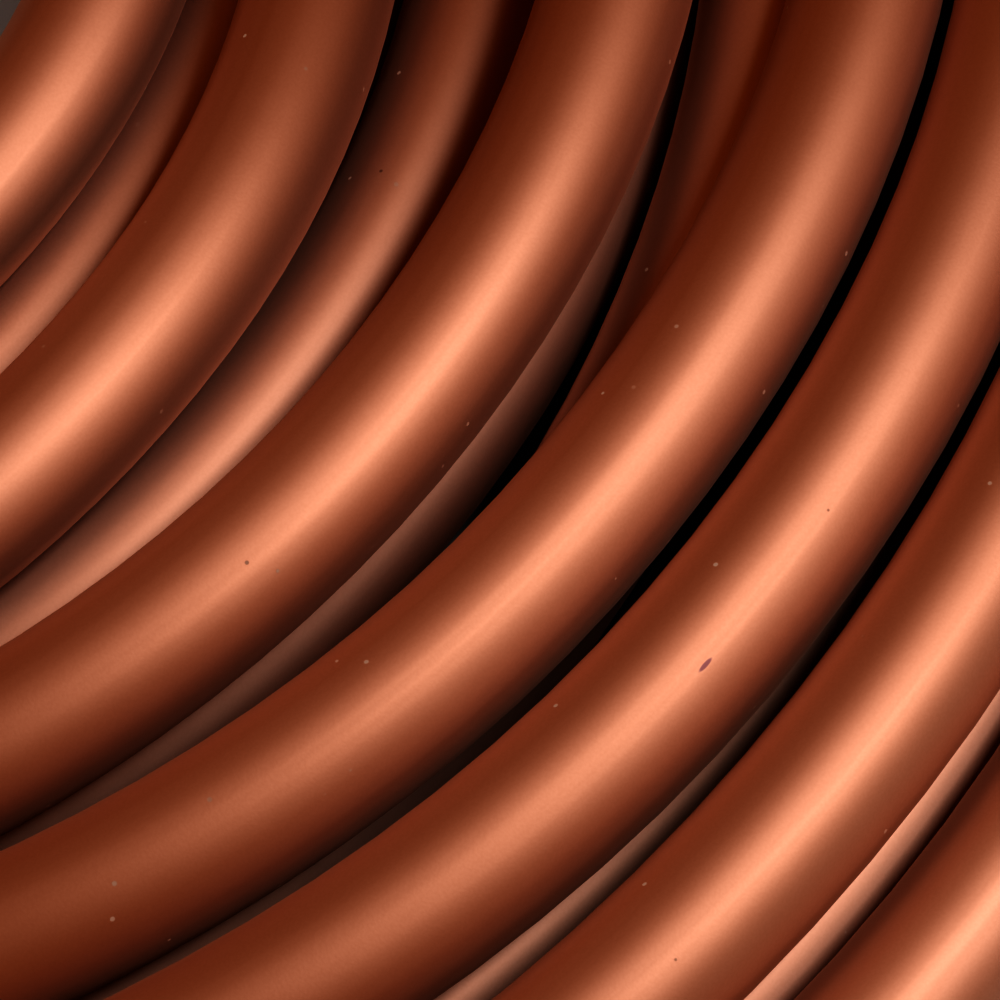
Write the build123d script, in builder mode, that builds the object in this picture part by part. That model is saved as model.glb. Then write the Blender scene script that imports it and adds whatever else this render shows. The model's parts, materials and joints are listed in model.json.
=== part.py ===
import os
from math import pi, sin, sqrt, tan

from build123d import *

# A coil of soft copper tube, wound in three level rows round an open eye. Millimetres, +Z up.
# The origin is on the coil's axis, at the level that the bottom row lies on.

# The tube: its outside diameter and the thickness of its wall.
tube_od = 12.7
tube_wall = 0.89

# The winding: a top and a bottom row, with a row of one turn fewer nested between them.
# Where turns of two rows cross they can't nest, which lifts each row a little off the one below.
first_turn_radius = 71.6
turn_pitch = 16.8
turns_in_full_row = 7
crossing_lift = 2.6

# Soft tube isn't wound evenly: the turns bunch towards the outside. Each value is the share of
# the free room between even turns that the bunching takes up at the row's outer end.
top_row_bunching = 0.85
bottom_row_bunching = 0.25

# Each turn's section is drawn with a few flats, which lie just outside the round tube. Between
# turns the flats carry on to a valley, and a gap of this width or more opens to the nested row.
turn_flats = 8
turn_relief = 0.05
open_gap_width = 5.5

# The outer end bends outwards off the bottom row's last turn, and then runs straight.
outer_end_azimuth = 24.0
outer_end_bend_radius = 90.0
outer_end_bend_angle = 28.0
outer_end_run = 42.0
outer_end_open_length = 38.0

# The inner end leaves the top row's first turn on a tighter bend, and then runs straight.
inner_end_azimuth = 180.0
inner_end_bend_radius = 40.0
inner_end_bend_angle = 100.0
inner_end_run = 38.0
inner_end_open_length = 34.0

# The rows: the pitch and the tube's width give how far apart nested rows lie, and the lift adds to it.
tube_radius = tube_od / 2
bore_radius = tube_radius - tube_wall
turn_half_height = tube_radius + turn_relief
nested_offset = turn_pitch / 2
nested_rise = sqrt((2 * turn_half_height) ** 2 - nested_offset**2)
row_rise = nested_rise + crossing_lift
bottom_row_z = turn_half_height
middle_row_z = bottom_row_z + row_rise
top_row_z = middle_row_z + row_rise

# The radii of each row's turns, bunched the most in the middle of the row.
free_room = turn_pitch - 2 * turn_half_height
spans_in_full_row = turns_in_full_row - 1


def bunched_radii(bunching):
    """The radii of a full row's turns, from the inside to the outside."""
    most_shift = bunching * free_room * spans_in_full_row / pi
    return [
        first_turn_radius + turn * turn_pitch + most_shift * sin(pi * turn / spans_in_full_row)
        for turn in range(turns_in_full_row)
    ]


top_row_radii = bunched_radii(top_row_bunching)
bottom_row_radii = bunched_radii(bottom_row_bunching)
last_turn_radius = first_turn_radius + spans_in_full_row * turn_pitch

# The filled core: it reaches as far in and out as the nested row's end turns do, and as high
# as the turns' own sides.
half_flat = turn_half_height * tan(pi / turn_flats)
core_inner_radius = first_turn_radius + nested_offset - turn_half_height
core_outer_radius = last_turn_radius - nested_offset + turn_half_height
core_width = core_outer_radius - core_inner_radius
core_height = top_row_z - bottom_row_z + 2 * half_flat
core_centre = ((core_inner_radius + core_outer_radius) / 2, middle_row_z)
nested_crest_depth = row_rise - turn_half_height

# A turn's section on its right side: open at the row's end, or into the core beside another turn.
open_side = [
    (half_flat, turn_half_height),
    (turn_half_height, half_flat),
    (turn_half_height, -half_flat),
    (turn_half_height - nested_offset, -turn_half_height),
]
inner_side = [
    (half_flat, turn_half_height),
    (turn_half_height, half_flat),
    (turn_half_height, -turn_half_height),
]

# Where each free end leaves its turn, and the way that it sets off.
outer_start = Vector(last_turn_radius, 0, bottom_row_z).rotate(Axis.Z, outer_end_azimuth)
outer_heading = Vector(0, 1).rotate(Axis.Z, outer_end_azimuth)
inner_start = Vector(first_turn_radius, 0, top_row_z).rotate(Axis.Z, inner_end_azimuth)
inner_heading = Vector(0, -1).rotate(Axis.Z, inner_end_azimuth)


def add_free_end(start, heading, bend_radius, bend_angle, run, open_length):
    """A round tube that bends clockwise off its turn and runs straight, its bore open at the tip."""
    with BuildLine(mode=Mode.PRIVATE) as line:
        bend = JernArc(start, heading, bend_radius, -bend_angle)
        Line(bend @ 1, bend @ 1 + (bend % 1) * run)
    route = line.wire()
    with BuildSketch(Plane(origin=route @ 0, z_dir=route % 0)) as tube_section:
        Circle(tube_radius)
    sweep(tube_section.sketch, path=route)
    with BuildSketch(Plane(origin=route @ 1, z_dir=-(route % 1))) as bore_section:
        Circle(bore_radius)
    extrude(bore_section.sketch, amount=open_length, mode=Mode.SUBTRACT)
    print(f"free end: tip {route @ 1}, heading {route % 1}")


def add_row(row_radii, row_z, up):
    """Draws a full row's turns and the valleys between them, upwards or, where up is -1, downwards."""
    last_turn = len(row_radii) - 1
    for turn, radius in enumerate(row_radii):
        right = open_side if turn == last_turn else inner_side
        left = open_side if turn == 0 else inner_side
        outline = right + [(-x, y) for x, y in reversed(left)]
        Polygon(*[(radius + x, row_z + up * y) for x, y in outline], align=None)
    for inner, outer in zip(row_radii, row_radii[1:]):
        middle = (inner + outer) / 2
        half_gap = (outer - inner) / 2 - turn_half_height
        is_open = 2 * half_gap >= open_gap_width
        bottom = -nested_crest_depth if is_open else half_flat - half_gap
        valley = [(-half_gap, half_flat), (half_gap, half_flat), (0, bottom)]
        Polygon(*[(middle + x, row_z + up * y) for x, y in valley], align=None, mode=Mode.SUBTRACT)


with BuildPart() as coil:
    # The wound turns and their core: one section, turned once round the axis.
    with BuildSketch(Plane.XZ):
        with Locations(core_centre):
            Rectangle(core_width, core_height)
        add_row(bottom_row_radii, bottom_row_z, -1)
        add_row(top_row_radii, top_row_z, 1)
    revolve(axis=Axis.Z)

    # The two free ends, each open for a fitting.
    add_free_end(
        outer_start,
        outer_heading,
        outer_end_bend_radius,
        outer_end_bend_angle,
        outer_end_run,
        outer_end_open_length,
    )
    add_free_end(
        inner_start,
        inner_heading,
        inner_end_bend_radius,
        inner_end_bend_angle,
        inner_end_run,
        inner_end_open_length,
    )

coil.part.label = "copper_tube_coil"
os.makedirs("parts", exist_ok=True)
export_step(coil.part, "parts/copper_tube_coil.step")

print(f"box {coil.part.bounding_box().size}")
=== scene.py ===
# %% [markdown]
# A coil of soft copper tube
#
# This is the coil that a plumber buys: one soft, bare copper tube, about fifteen metres long and as
# thick as a finger, wound flat round an open eye. It is wound in three layers, and its turns are
# never quite even: they bunch, leave gaps, and sink between the turns under them.
#
# The whole object is one tube, so the lesson is one piece: lay its route, pull a round skin along
# it, and give that skin a copper finish. Everything is in metres, and +Z is up along the coil's axis.

# %% Load the frame
import json
import math
import bmesh
import bpy
from mathutils import Matrix, Vector


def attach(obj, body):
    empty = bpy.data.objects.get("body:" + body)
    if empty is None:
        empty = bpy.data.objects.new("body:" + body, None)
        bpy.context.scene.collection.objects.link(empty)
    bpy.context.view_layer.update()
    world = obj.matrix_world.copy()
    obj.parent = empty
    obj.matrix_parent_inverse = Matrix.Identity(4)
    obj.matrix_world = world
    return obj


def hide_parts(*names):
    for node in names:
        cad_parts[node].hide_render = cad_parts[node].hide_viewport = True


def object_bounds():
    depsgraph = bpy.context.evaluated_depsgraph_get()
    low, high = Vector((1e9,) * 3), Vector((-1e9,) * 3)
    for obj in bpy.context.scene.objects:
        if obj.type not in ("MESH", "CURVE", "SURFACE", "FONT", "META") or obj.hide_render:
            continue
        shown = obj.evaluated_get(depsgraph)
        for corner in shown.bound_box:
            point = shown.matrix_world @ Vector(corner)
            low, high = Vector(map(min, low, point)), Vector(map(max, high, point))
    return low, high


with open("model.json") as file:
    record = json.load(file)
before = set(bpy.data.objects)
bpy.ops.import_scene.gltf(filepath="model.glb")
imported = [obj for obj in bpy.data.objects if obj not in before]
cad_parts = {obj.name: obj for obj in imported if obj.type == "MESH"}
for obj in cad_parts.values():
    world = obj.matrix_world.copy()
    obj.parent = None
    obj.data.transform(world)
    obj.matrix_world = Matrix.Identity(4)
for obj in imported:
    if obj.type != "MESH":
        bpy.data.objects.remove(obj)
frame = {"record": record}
cad_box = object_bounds()
print("box of the solid model:", [tuple(round(v, 4) for v in corner) for corner in cad_box])

# %% [markdown]
# The sizes that the winding follows
#
# The record says how thick the tube is, because fittings are made for it. All other lengths of the
# winding are easiest to think of in tube diameters: two turns that touch are one diameter apart,
# whatever the tube. So the route is laid in diameters, and scaled to metres at its end.

# %% The tube's own sizes
mounts = {mount["name"]: mount for mount in frame["record"]["mounts"]}
TUBE_RADIUS = mounts["outer_end"]["dims"]["r_mm"] / 1000
TUBE = 2 * TUBE_RADIUS
WALL = 0.00089
BORE_RADIUS = TUBE_RADIUS - WALL
print(f"the tube is {TUBE * 1000:.1f} mm thick, its wall {WALL * 1000:.2f} mm")

# %% [markdown]
# Where each turn lies
#
# The coil is wound from the outside in along the floor, then outwards on top of that, then inwards
# again. Each turn is given by three radii, in tube diameters, at three places forty degrees apart on
# the coil's front right part, which is the part that the camera looks at. The rows are spaced a
# little differently, so that some gaps of the top row show a turn close beneath, and others go down
# into the dark.
#
# Between two turns the tube has to cross over to its next place. On real coils most of these
# crossings fall on one side, and here they fall at the back: the rest of the turn keeps its radius,
# and a share of the way across is added at each hidden place.

# %% Radii of the turns, in tube diameters
FLOOR_ROW_INWARDS = [
    (13.57, 13.1, 13.0), (12.0, 11.8, 11.7), (10.9, 10.8, 10.7), (9.6, 9.7, 9.6),
    (8.4, 8.1, 8.1), (6.95, 6.95, 6.85), (5.65, 5.65, 5.65),
]
MIDDLE_ROW_OUTWARDS = [
    (6.3, 6.2, 6.5), (7.92, 7.8, 7.8), (8.93, 8.8, 8.8), (9.85, 10.0, 10.15),
    (11.5, 11.38, 11.45), (12.65, 12.65, 12.7),
]
TOP_ROW_INWARDS = [
    (13.55, 13.57, 13.5), (12.65, 12.43, 12.4), (11.65, 11.28, 10.85), (10.6, 10.15, 9.7),
    (8.93, 8.78, 8.68), (6.85, 7.15, 7.55), (5.6, 5.56, 5.6),
]
CROSSING_SHARES = (0, 0, 0.1, 0.4, 0.7, 1)

turns = FLOOR_ROW_INWARDS + MIDDLE_ROW_OUTWARDS + TOP_ROW_INWARDS
places = [turns[0][0]]
for number, seen in enumerate(turns):
    last = seen[-1]
    target = turns[number + 1][0] if number + 1 < len(turns) else last
    places += list(seen) + [last + (target - last) * share for share in CROSSING_SHARES]
print(len(turns), "turns are given by", len(places), "places")

# %% [markdown]
# A smooth path through the places
#
# Nine places a turn are too few to draw a tube with, and straight lines between them would kink it.
# The curve used here goes through every place and looks one place further on each side for its
# slope, so the radius changes as slowly as a springy tube lets it. Sixteen steps from one place to
# the next leave no corners that could be seen on the rim.

# %% Step along the winding
PLACES_A_TURN = 9
STEPS_A_PLACE = 16
STEPS_A_TURN = PLACES_A_TURN * STEPS_A_PLACE
FIRST_SEEN_AZIMUTH = 2
PLACE_ANGLE = 360 / PLACES_A_TURN
OUTER_END_AZIMUTH = 24
INNER_END_AZIMUTH = -180 - 360 * (len(turns) - 1)


def spline_value(before, start, end, after, share):
    """A smooth curve between two places, which looks one place further on each side."""
    slope = end - before
    bend = 2 * before - 5 * start + 4 * end - after
    twist = 3 * start - before - 3 * end + after
    return 0.5 * (2 * start + slope * share + bend * share**2 + twist * share**3)


azimuths = []
radii = []
framed = [places[0]] + places + [places[-1]]
for place in range(len(places) - 1):
    for step in range(STEPS_A_PLACE):
        share = step / STEPS_A_PLACE
        azimuth = FIRST_SEEN_AZIMUTH + PLACE_ANGLE * (1 - place - share)
        if INNER_END_AZIMUTH <= azimuth <= OUTER_END_AZIMUTH:
            azimuths.append(azimuth)
            radii.append(spline_value(*framed[place:place + 4], share))
print(len(radii), "steps along the winding, radii", round(min(radii), 2), "to", round(max(radii), 2))

# %% [markdown]
# How high each turn lies
#
# A turn lies on the floor, or on any earlier turn that is less than a diameter away from it to one
# side: two round tubes that touch have their middles exactly one diameter apart, so a right-angled
# triangle gives the height. The tube is too stiff to dip and rise sharply, so the heights are then
# held up over a short stretch and eased. Laying the whole coil a few times over settles it, and
# nothing may lie higher than the solid model does.

# %% Lay the tube turn by turn
FLOOR_LEVEL = 0.5
CEILING_LEVEL = (cad_box[1].z - TUBE_RADIUS) / TUBE - 0.001
STIFF_REACH = 8
LAYING_ROUNDS = 8
stiff_shifts = range(-STIFF_REACH, STIFF_REACH + 1)
ease = [1 + math.cos(math.pi * shift / (STIFF_REACH + 1)) for shift in stiff_shifts]


def resting_height(step, heights):
    """The height at which one step of the tube rests on the floor or on the turns before it."""
    height = FLOOR_LEVEL
    for earlier in range(step - STEPS_A_TURN, -1, -STEPS_A_TURN):
        apart = abs(radii[step] - radii[earlier])
        if apart < 1:
            height = max(height, heights[earlier] + math.sqrt(1 - apart**2))
    return height


def near(values, step):
    """The values within the stiff reach of one step, with the ends repeated."""
    return [values[min(max(step + shift, 0), len(values) - 1)] for shift in stiff_shifts]


def eased_height(values, step):
    """The mean of the values near one step, in which the nearest ones count the most."""
    weighted = [weight * value for weight, value in zip(ease, near(values, step))]
    return sum(weighted) / sum(ease)


heights = [FLOOR_LEVEL] * len(radii)
for laying in range(LAYING_ROUNDS):
    resting = [resting_height(step, heights) for step in range(len(radii))]
    bridged = [max(near(resting, step)) for step in range(len(radii))]
    heights = [min(eased_height(bridged, step), CEILING_LEVEL) for step in range(len(radii))]
print("heights from", round(min(heights), 2), "to", round(max(heights), 2), "diameters")

# %% [markdown]
# The last stretch springs up
#
# The inner end has nothing over it that holds it down, and it has to be free for a fitting. So the
# last stretch before it rises from where the winding would lay it to the level that the record gives
# for the inner end. Half a cosine wave makes the rise start and end level.

# %% Raise the last stretch to the inner end's level
SPRING_STEPS = 40
INNER_END_LEVEL = mounts["inner_end"]["pos_m"][2] / TUBE
for step in range(SPRING_STEPS):
    share = (1 - math.cos(math.pi * (step + 1) / SPRING_STEPS)) / 2
    place = len(heights) - SPRING_STEPS + step
    heights[place] += (INNER_END_LEVEL - heights[place]) * share
print("the inner end lies", round(heights[-1], 3), "diameters up")

# %% [markdown]
# From diameters to metres
#
# Every step now has a radius, an azimuth and a height. Turned into points, they are the middle line
# of the tube. Its length is worth printing: such a coil is sold by its length, and a winding that
# comes out far from the fifteen metres on the shelf would have a wrong number of turns.

# %% The winding in metres
winding = []
for radius, azimuth, height in zip(radii, azimuths, heights):
    turned = math.radians(azimuth)
    winding.append(TUBE * Vector((radius * math.cos(turned), radius * math.sin(turned), height)))
wound_length = sum((b - a).length for a, b in zip(winding, winding[1:]))
print(f"wound length {wound_length:.2f} m")

# %% [markdown]
# The two free ends
#
# The outer end is bent a little outwards off the coil, and the inner end further into the eye, so
# that a fitting can be pushed over each. A bend turns the heading by a small angle at every step,
# and the run after it goes straight on.

# %% Bend an end off the winding
DEGREES_A_STEP = 4
FEWEST_BEND_STEPS = 6
RUN_STEPS = 6


def free_end(start, heading, bend_radius, bend_angle, run):
    """Points of a clockwise bend and the straight run after it, all at one level."""
    bend_steps = max(FEWEST_BEND_STEPS, round(bend_angle / DEGREES_A_STEP))
    turn = math.radians(-bend_angle / bend_steps)
    stride = 2 * bend_radius * math.sin(abs(turn) / 2)
    points = []
    at = start.copy()
    way = heading.copy()
    for step in range(bend_steps):
        way.rotate(Matrix.Rotation(turn / 2, 3, "Z"))
        at = at + way * stride
        way.rotate(Matrix.Rotation(turn / 2, 3, "Z"))
        points.append(at)
    for step in range(RUN_STEPS):
        points.append(at + way * run * (step + 1) / RUN_STEPS)
    return points


# %% The whole route, from the outer tip to the inner tip
OUTER_BEND_RADIUS = 0.090
OUTER_BEND_ANGLE = 28
OUTER_RUN = 0.042
INNER_BEND_RADIUS = 0.040
INNER_BEND_ANGLE = 100
INNER_RUN = 0.038
outer_start = winding[0]
outer_heading = Vector((-outer_start.y, outer_start.x, 0)).normalized()
outer_points = free_end(outer_start, outer_heading, OUTER_BEND_RADIUS, OUTER_BEND_ANGLE, OUTER_RUN)
inner_start = winding[-1]
inner_heading = Vector((inner_start.y, -inner_start.x, 0)).normalized()
inner_points = free_end(inner_start, inner_heading, INNER_BEND_RADIUS, INNER_BEND_ANGLE, INNER_RUN)
route = outer_points[::-1] + winding + inner_points
print("outer tip", tuple(round(v, 4) for v in route[0]))
print("inner tip", tuple(round(v, 4) for v in route[-1]))

# %% [markdown]
# A frame at every step
#
# A drawn tube is a circle pulled along a line, and each ring of its skin has to stand square to that
# line. A frame does this: one axis along the tube, one kept level, and one across both. Because the
# level axis never turns over, the skin doesn't twist, and marks along the tube stay on their side.

# %% Frames and lengths along the route
def frame_at(number):
    """A matrix that carries a ring on the XY plane to one place of the route."""
    before = route[max(number - 1, 0)]
    after = route[min(number + 1, len(route) - 1)]
    along = (after - before).normalized()
    level = along.cross(Vector((0, 0, 1))).normalized()
    upward = level.cross(along)
    turned = Matrix((level, upward, along)).transposed()
    return Matrix.Translation(route[number]) @ turned.to_4x4()


frames = [frame_at(number) for number in range(len(route))]
lengths = [0.0]
for a, b in zip(route, route[1:]):
    lengths.append(lengths[-1] + (b - a).length)
print(f"the tube is {lengths[-1]:.2f} m long with its free ends")

# %% [markdown]
# The open ends
#
# The ends were cut off square and deburred, so each has a narrow broken edge, a ring of cut wall, and
# the dark bore behind it. The skin simply goes on round the edge and down into the bore, as a few
# more rings. The bores stop where the solid model's do, because nobody can look further in.

# %% The rings, from the bottom of one bore to the bottom of the other
OUTER_BORE_DEPTH = 0.038
INNER_BORE_DEPTH = 0.034
DEBURR = 0.0002


def end_rings(number, inwards, depth):
    """The bore's bottom and wall, the cut face and its broken edge; inwards is +1 or -1."""
    return [
        (number, inwards * depth, 0.0),
        (number, inwards * depth, BORE_RADIUS),
        (number, 0.0, BORE_RADIUS),
        (number, 0.0, TUBE_RADIUS - DEBURR),
        (number, inwards * DEBURR, TUBE_RADIUS),
    ]


last = len(frames) - 1
rings = end_rings(0, 1, OUTER_BORE_DEPTH)
rings += [(number, 0.0, TUBE_RADIUS) for number in range(1, last)]
rings += end_rings(last, -1, INNER_BORE_DEPTH)[::-1]
print(len(rings), "rings")

# %% [markdown]
# The skin of the tube
#
# The skin could be made by extruding a ring of points thousands of times, but every extrusion looks
# at the whole mesh again, so a long tube takes minutes. A sheet of squares is quicker: it has one
# column for each side of the tube and one row for each ring. Each row is rolled into its ring and
# carried to its place by its frame, and the two edges that meet along the tube are merged.
#
# Each point also remembers where it would be if the tube were pulled straight. The finish uses that
# later, for marks that run along the tube.

# %% Roll a sheet into the tube
SIDES = 28
SAME_PLACE = 1e-6
skin = bmesh.new()
straightened = skin.verts.layers.float_vector.new("straightened")
bmesh.ops.create_grid(skin, x_segments=SIDES, y_segments=len(rings) - 1, size=1)
for vert in skin.verts:
    angle = math.pi * (vert.co.x + 1)
    number, shift, radius = rings[round((vert.co.y + 1) / 2 * (len(rings) - 1))]
    local = Vector((radius * math.cos(angle), radius * math.sin(angle), shift))
    vert.co = frames[number] @ local
    vert[straightened] = (local.x, local.y, lengths[number] + shift)
bmesh.ops.remove_doubles(skin, verts=skin.verts, dist=SAME_PLACE)
bmesh.ops.recalc_face_normals(skin, faces=skin.faces)
open_edges = sum(1 for edge in skin.edges if not edge.is_manifold)
print(len(skin.faces), "faces, open edges:", open_edges)
print("volume with closed bores", round(skin.calc_volume() * 1e6, 1), "cm3")

# %% [markdown]
# Smooth skin, sharp cuts
#
# The tube is round, so light should run over its flat faces as over one curve: they are shaded
# smooth. The cut ends have real corners, so edges between faces that lean far apart stay sharp.

# %% Shade the skin
SHARP = math.radians(35)
for face in skin.faces:
    face.smooth = True
for edge in skin.edges:
    edge.smooth = edge.calc_face_angle(0) < SHARP
print(sum(1 for edge in skin.edges if not edge.smooth), "sharp edges")

# %% [markdown]
# The tube becomes an object
#
# The finished mesh goes into an object that stays at the origin, because each point is already in
# its place. The object rides on the coil's one body, stands in for the turned solid, and wears the
# finish that the record calls copper.


# %% The tube as an object
def make_object(name, shape):
    """Turns a bmesh into an object of the scene, with its place in its mesh."""
    mesh = bpy.data.meshes.new(name)
    shape.to_mesh(mesh)
    shape.free()
    made = bpy.data.objects.new(name, mesh)
    bpy.context.scene.collection.objects.link(made)
    return made


tube = make_object("wound_copper_tube", skin)
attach(tube, "root")
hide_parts("copper_tube_coil")
print("the tube has", len(tube.data.polygons), "faces")

# %% [markdown]
# The copper finish
#
# Bare drawn copper is a satin metal: orange where light meets it squarely, and a deep red brown where
# it only mirrors a dim room or the next turn. That deepening needs no paint, because every bounce
# between two turns takes the copper's own colour again. So the base colour stays even, and all the
# marks on it are faint.
#
# The marks could be painted on an image, but noise made by the shader never gets coarse, however
# close the camera comes. It reads the straightened place of each point, so it follows the tube.
#
# A few short helpers keep the next cells easy to read. The Mix node has the sockets of its colours
# behind those for numbers and vectors, so they are reached by their places in its list.

# %% A material and its helpers
copper = bpy.data.materials.new("satin_bare_copper")
copper.use_nodes = True
tree = copper.node_tree
shader = tree.nodes["Principled BSDF"]
MIX_SHARE, MIX_FIRST, MIX_SECOND, MIX_RESULT = 0, 6, 7, 2


def add_node(kind, sockets=(), **settings):
    """Adds a node, sets its options, and fills its sockets with values or with other sockets."""
    node = tree.nodes.new(kind)
    for name, value in settings.items():
        setattr(node, name, value)
    for name, value in dict(sockets).items():
        if isinstance(value, bpy.types.NodeSocket):
            tree.links.new(value, node.inputs[name])
        else:
            node.inputs[name].default_value = value
    return node


def calculate(operation, first, second, **settings):
    """One sum of two values, of which either may be a socket."""
    node = add_node("ShaderNodeMath", {0: first, 1: second}, operation=operation, **settings)
    return node.outputs["Value"]


def spread(value, low, high, out_low, out_high):
    """Maps a socket's range onto another range, cut off at both ends."""
    sockets = {"Value": value, "From Min": low, "From Max": high, "To Min": out_low, "To Max": out_high}
    return add_node("ShaderNodeMapRange", sockets, interpolation_type="SMOOTHSTEP").outputs["Result"]


def mix_colours(first, second, share, **settings):
    """Blends two colours by a share."""
    sockets = {MIX_SHARE: share, MIX_FIRST: first, MIX_SECOND: second}
    return add_node("ShaderNodeMix", sockets, data_type="RGBA", **settings).outputs[MIX_RESULT]


straight_place = add_node("ShaderNodeAttribute", attribute_name="straightened").outputs["Vector"]


def stretched_noise(stretch, detail):
    """Noise on the straightened tube, which is finer on one axis than on another."""
    place = add_node("ShaderNodeMapping", {"Vector": straight_place, "Scale": stretch}).outputs["Vector"]
    return add_node("ShaderNodeTexNoise", {"Vector": place, "Scale": 1, "Detail": detail}).outputs["Fac"]


print("the finish reads the attribute", tube.data.attributes["straightened"].name)

# %% [markdown]
# Tones and grain
#
# Handling and storage leave a new tube a little paler in one place and warmer in another. A noise
# that is stretched along the tube makes such slow changes, and blends two coppers that are almost the
# same. On top lies a grain of a quarter of a millimetre, as fine as the drawn metal's own.

# %% Two coppers, blended by slow tones and fine grain
FRESH_COPPER = (0.70, 0.46, 0.36, 1)
WARM_COPPER = (0.67, 0.43, 0.33, 1)
TONE_STRETCH = (90, 90, 14)
GRAIN_SCALE = 4200
GRAIN_SHARE = 0.3
tone = stretched_noise(TONE_STRETCH, 2)
grain_sockets = {"Vector": straight_place, "Scale": GRAIN_SCALE, "Detail": 2}
grain = add_node("ShaderNodeTexNoise", grain_sockets).outputs["Fac"]
grain_share = spread(grain, 0.3, 0.7, -GRAIN_SHARE, GRAIN_SHARE)
copper_share = calculate("ADD", spread(tone, 0.35, 0.65, 0, 1), grain_share)
copper_colour = mix_colours(FRESH_COPPER, WARM_COPPER, copper_share, clamp_factor=False)
print("tones from", FRESH_COPPER[:3], "to", WARM_COPPER[:3])
print("grain of", round(1000 / GRAIN_SCALE, 2), "mm")

# %% [markdown]
# Dust and dark specks
#
# A few grains of dust and a few dark specks lie on any tube that was handled. Cells of two
# millimetres fill the space round the tube, and the surface cuts through some of their middles. Each
# cell has a random colour, so its red picks the cells with dust and its green the ones with a speck.

# %% Pick a few cells and dot their middles
SPECK_CELLS = 500
DUST_SIZE = 0.075
DUST_STRENGTH = 0.5
DARK_STRENGTH = 0.7
DUST_COLOUR = (1.0, 0.9, 0.8, 1)
DARK_COLOUR = (0.12, 0.05, 0.04, 1)
speck_cells = add_node("ShaderNodeTexVoronoi", {"Vector": straight_place, "Scale": SPECK_CELLS})
chance = add_node("ShaderNodeSeparateColor", {"Color": speck_cells.outputs["Color"]})
near_middle = spread(speck_cells.outputs["Distance"], DUST_SIZE, DUST_SIZE * 1.6, 1, 0)
picked_dust = spread(chance.outputs["Red"], 0.9, 0.97, 0, DUST_STRENGTH)
picked_dark = spread(chance.outputs["Green"], 0.994, 0.997, 0, DARK_STRENGTH)
dust = calculate("MULTIPLY", near_middle, picked_dust)
dark = calculate("MULTIPLY", near_middle, picked_dark)
dusty_colour = mix_colours(copper_colour, DUST_COLOUR, dust)
specked_colour = mix_colours(dusty_colour, DARK_COLOUR, dark)
print("cells of", 1000 / SPECK_CELLS, "mm, dots of", 2 * 1000 * DUST_SIZE / SPECK_CELLS, "mm")

# %% [markdown]
# One nick
#
# Something sharp once touched the third turn of the top row, and left a small dull nick along the
# tube. A random pattern would put it anywhere. Here it has one place: the distance from that place,
# measured in a stretched space, is less than one only inside a long thin drop shape.

# %% A nick on the third turn of the top row
NICK_TURN = 15
NICK_AZIMUTH = -37 - 360 * NICK_TURN
NICK_LEAN = math.radians(24)
NICK_SIZE = (0.00022, 0.00022, 0.0009)
NICK_COLOUR = (0.28, 0.15, 0.19, 1)
NICK_STRENGTH = 0.8
nick_steps = (azimuths[0] - NICK_AZIMUTH) * STEPS_A_TURN / 360
whole_steps = math.floor(nick_steps)
step_before, step_after = lengths[len(outer_points) + whole_steps:][:2]
nick_along = step_before + (step_after - step_before) * (nick_steps - whole_steps)
nick_place = (-TUBE_RADIUS * math.sin(NICK_LEAN), TUBE_RADIUS * math.cos(NICK_LEAN), nick_along)
shifted = add_node("ShaderNodeVectorMath", {0: straight_place, 1: nick_place}, operation="SUBTRACT")
from_nick = shifted.outputs["Vector"]
shrunk = add_node("ShaderNodeVectorMath", {0: from_nick, 1: NICK_SIZE}, operation="DIVIDE")
nick_distance = add_node("ShaderNodeVectorMath", {0: shrunk.outputs["Vector"]}, operation="LENGTH")
nick = spread(nick_distance.outputs["Value"], 0.6, 1.0, NICK_STRENGTH, 0)
tree.links.new(mix_colours(specked_colour, NICK_COLOUR, nick), shader.inputs["Base Color"])
print("the nick is", round(nick_along, 2), "m along the tube")

# %% [markdown]
# Satin that is drawn one way
#
# The drawing die leaves lines along the tube, far too fine to model. They spread a highlight widely
# round the tube and much less along it. A plain roughness spreads it the same both ways, and
# anisotropy makes the two differ. Blender's wide way goes round the vertical, which is where the
# turns run, so a rotation of a quarter turns it from along the tube to round it.
#
# Dust isn't metal: where a grain lies, the surface is rougher and its metallic share goes down. The
# noise that made the grain's colour also makes a bump, so that both sit in the same places.

# %% Roughness, drawn lines and bump
ROUGHNESS = 0.53
ROUGHNESS_SWING = 0.015
STREAK_STRETCH = (700, 700, 9)
DRAWN_ONE_WAY = 0.64
QUARTER_TURN = 0.25
GRAIN_HEIGHT = 0.00002
GRAIN_BUMP = 0.12
streaks = stretched_noise(STREAK_STRETCH, 3)
satin = spread(streaks, 0.3, 0.7, ROUGHNESS - ROUGHNESS_SWING, ROUGHNESS + ROUGHNESS_SWING)
tree.links.new(calculate("ADD", satin, dust, use_clamp=True), shader.inputs["Roughness"])
tree.links.new(calculate("SUBTRACT", 1.0, dust), shader.inputs["Metallic"])
shader.inputs["Anisotropic"].default_value = DRAWN_ONE_WAY
shader.inputs["Anisotropic Rotation"].default_value = QUARTER_TURN
bump_sockets = {"Height": grain, "Strength": GRAIN_BUMP, "Distance": GRAIN_HEIGHT}
tree.links.new(add_node("ShaderNodeBump", bump_sockets).outputs["Normal"], shader.inputs["Normal"])
tube.data.materials.append(copper)
print("roughness", ROUGHNESS, "give or take", ROUGHNESS_SWING)

# %% [markdown]
# The floor
#
# The coil lies on a plain pale sheet, much larger than itself, so that no edge of it shows from any
# side. It is only the stage, and no part of the object. A flat sheet of one colour needs no pattern,
# so a short helper fills in the values of its shader.


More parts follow.
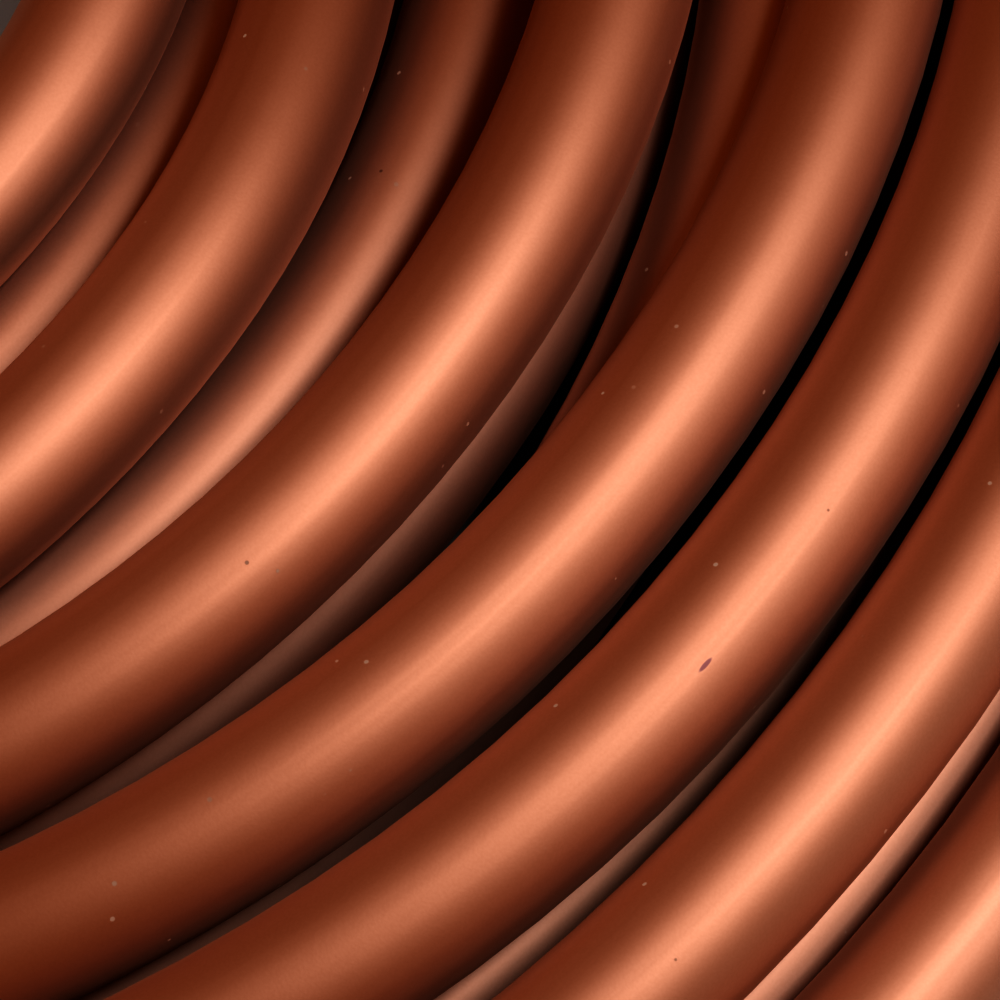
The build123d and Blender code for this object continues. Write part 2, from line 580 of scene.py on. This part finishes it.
# %% A pale sheet under the coil
def plain_finish(name, values):
    """A material whose shader has the same values all over."""
    finish = bpy.data.materials.new(name)
    finish.use_nodes = True
    for socket, value in values.items():
        finish.node_tree.nodes["Principled BSDF"].inputs[socket].default_value = value
    return finish


FLOOR_SIZE = 6.0
PALE_PAPER = (0.8, 0.79, 0.77, 1)
floor_shape = bmesh.new()
bmesh.ops.create_grid(floor_shape, x_segments=1, y_segments=1, size=FLOOR_SIZE / 2)
floor = make_object("pale_floor", floor_shape)
floor.data.materials.append(plain_finish("pale_paper", {"Base Color": PALE_PAPER, "Roughness": 0.9}))
print("the floor is", FLOOR_SIZE, "m wide")

# %% [markdown]
# One soft light
#
# Each turn has one soft stripe of light, so there is one lamp. It hangs to the right of the coil and
# looks at its front right part. It is a panel half a metre across, because the satin already spreads
# its light, and the turns would shade the gaps between them from most of a longer one. One side of
# the panel lies across the turns.

# %% The lamp
LOOKED_AT = Vector((0.1007, -0.0702, 0.0298))
LAMP_WAY = Vector((0.49, 0.07, 0.87)).normalized()
ACROSS_THE_TURNS = Vector((0.74, -0.52, -0.42))
LAMP_DISTANCE = 1.3
LAMP_LENGTH = 0.35
LAMP_WIDTH = 0.5
LAMP_WATTS = 4.05
lamp = bpy.data.lights.new("main_light", "AREA")
lamp.shape = "RECTANGLE"
lamp.size = LAMP_LENGTH
lamp.size_y = LAMP_WIDTH
lamp.energy = LAMP_WATTS
hung_lamp = bpy.data.objects.new("main_light", lamp)
bpy.context.scene.collection.objects.link(hung_lamp)
short_side = LAMP_WAY.cross(ACROSS_THE_TURNS).normalized()
turned = Matrix((short_side.cross(LAMP_WAY), short_side, LAMP_WAY)).transposed()
hung_lamp.matrix_world = Matrix.Translation(LOOKED_AT + LAMP_WAY * LAMP_DISTANCE) @ turned.to_4x4()
hung_lamp.visible_camera = False
print("the lamp hangs at", tuple(round(v, 2) for v in hung_lamp.matrix_world.translation))

# %% [markdown]
# The room's own light
#
# The walls and ceiling of a room send a soft light from everywhere, and keep the floor pale and its
# shadows open. The copper must not mirror it, or its dark flanks would turn grey, so this light is
# switched off for reflections. What the copper mirrors instead comes in the next step.

# %% Light from everywhere, for the floor
ROOM_LIGHT = (1, 0.95, 0.92, 1)
ROOM_STRENGTH = 0.2
world = bpy.data.worlds.new("dim_room")
world.use_nodes = True
world.node_tree.nodes["Background"].inputs["Color"].default_value = ROOM_LIGHT
world.node_tree.nodes["Background"].inputs["Strength"].default_value = ROOM_STRENGTH
bpy.context.scene.world = world
world.cycles_visibility.glossy = False
print("the room's light is", ROOM_STRENGTH)

# %% [markdown]
# A dim warm dome
#
# Polished or satin, a metal has no colour of its own to show: it shows the room, tinted. In a black
# room the sides of the tube would be black between the stripes of light, but in a warm, dim one they
# are a deep red brown. Half a ball with a dim glow stands for such a room. Only reflections see it.
# It needs no sampling as a lamp, because the satin's own rays find it anyway.

# %% Half a ball round the scene
DOME_RADIUS = 4.0
DOME_RIM_HEIGHT = 0.05
dome_shape = bmesh.new()
bmesh.ops.create_uvsphere(dome_shape, u_segments=48, v_segments=24, radius=DOME_RADIUS)
lower = [vert for vert in dome_shape.verts if vert.co.z < -0.001]
bmesh.ops.delete(dome_shape, geom=lower, context="VERTS")
bmesh.ops.translate(dome_shape, vec=(0, 0, DOME_RIM_HEIGHT), verts=dome_shape.verts[:])
dome = make_object("warm_dome", dome_shape)
print("the dome is", DOME_RADIUS, "m in radius")

# %% Its glow
DOME_GLOW = 0.2
WARM_GLOW = (1, 0.35, 0.02, 1)
BLACK = (0, 0, 0, 1)
glow_values = {"Base Color": BLACK, "Emission Color": WARM_GLOW, "Emission Strength": DOME_GLOW}
glow = plain_finish("warm_glow", glow_values)
glow.cycles.emission_sampling = "NONE"
dome.data.materials.append(glow)
dome.visible_camera = False
dome.visible_diffuse = False
dome.visible_shadow = False
print("the dome glows at", DOME_GLOW)

# %% [markdown]
# The camera
#
# The camera looks steeply down at the front right part of the coil from close by, through a long
# lens, so the frame is filled with turns. A tracking rotation points it: the camera looks along its
# own -Z, so +Z points back from the coil to the camera.
#
# The picture's contrast is set here too. A strong contrast curve gives bright stripes and deep gaps
# as on a print, and a gamma below one draws the middle tones down with it.

# %% Point the camera and set the contrast
CAMERA_ELEVATION = math.radians(63)
CAMERA_DISTANCE = 0.4191
LENS = 190.0
SENSOR_WIDTH = 36
toward_camera = Vector((0, -math.cos(CAMERA_ELEVATION), math.sin(CAMERA_ELEVATION)))
camera_data = bpy.data.cameras.new("photo_camera")
camera_data.lens = LENS
camera_data.sensor_width = SENSOR_WIDTH
camera = bpy.data.objects.new("photo_camera", camera_data)
bpy.context.scene.collection.objects.link(camera)
camera.location = LOOKED_AT + toward_camera * CAMERA_DISTANCE
camera.rotation_euler = toward_camera.to_track_quat("Z", "Y").to_euler()
bpy.context.scene.camera = camera
bpy.context.scene.view_settings.view_transform = "Standard"
bpy.context.scene.view_settings.look = "Very High Contrast"
bpy.context.scene.view_settings.gamma = 0.8
print("the camera stands at", tuple(round(v, 3) for v in camera.location))
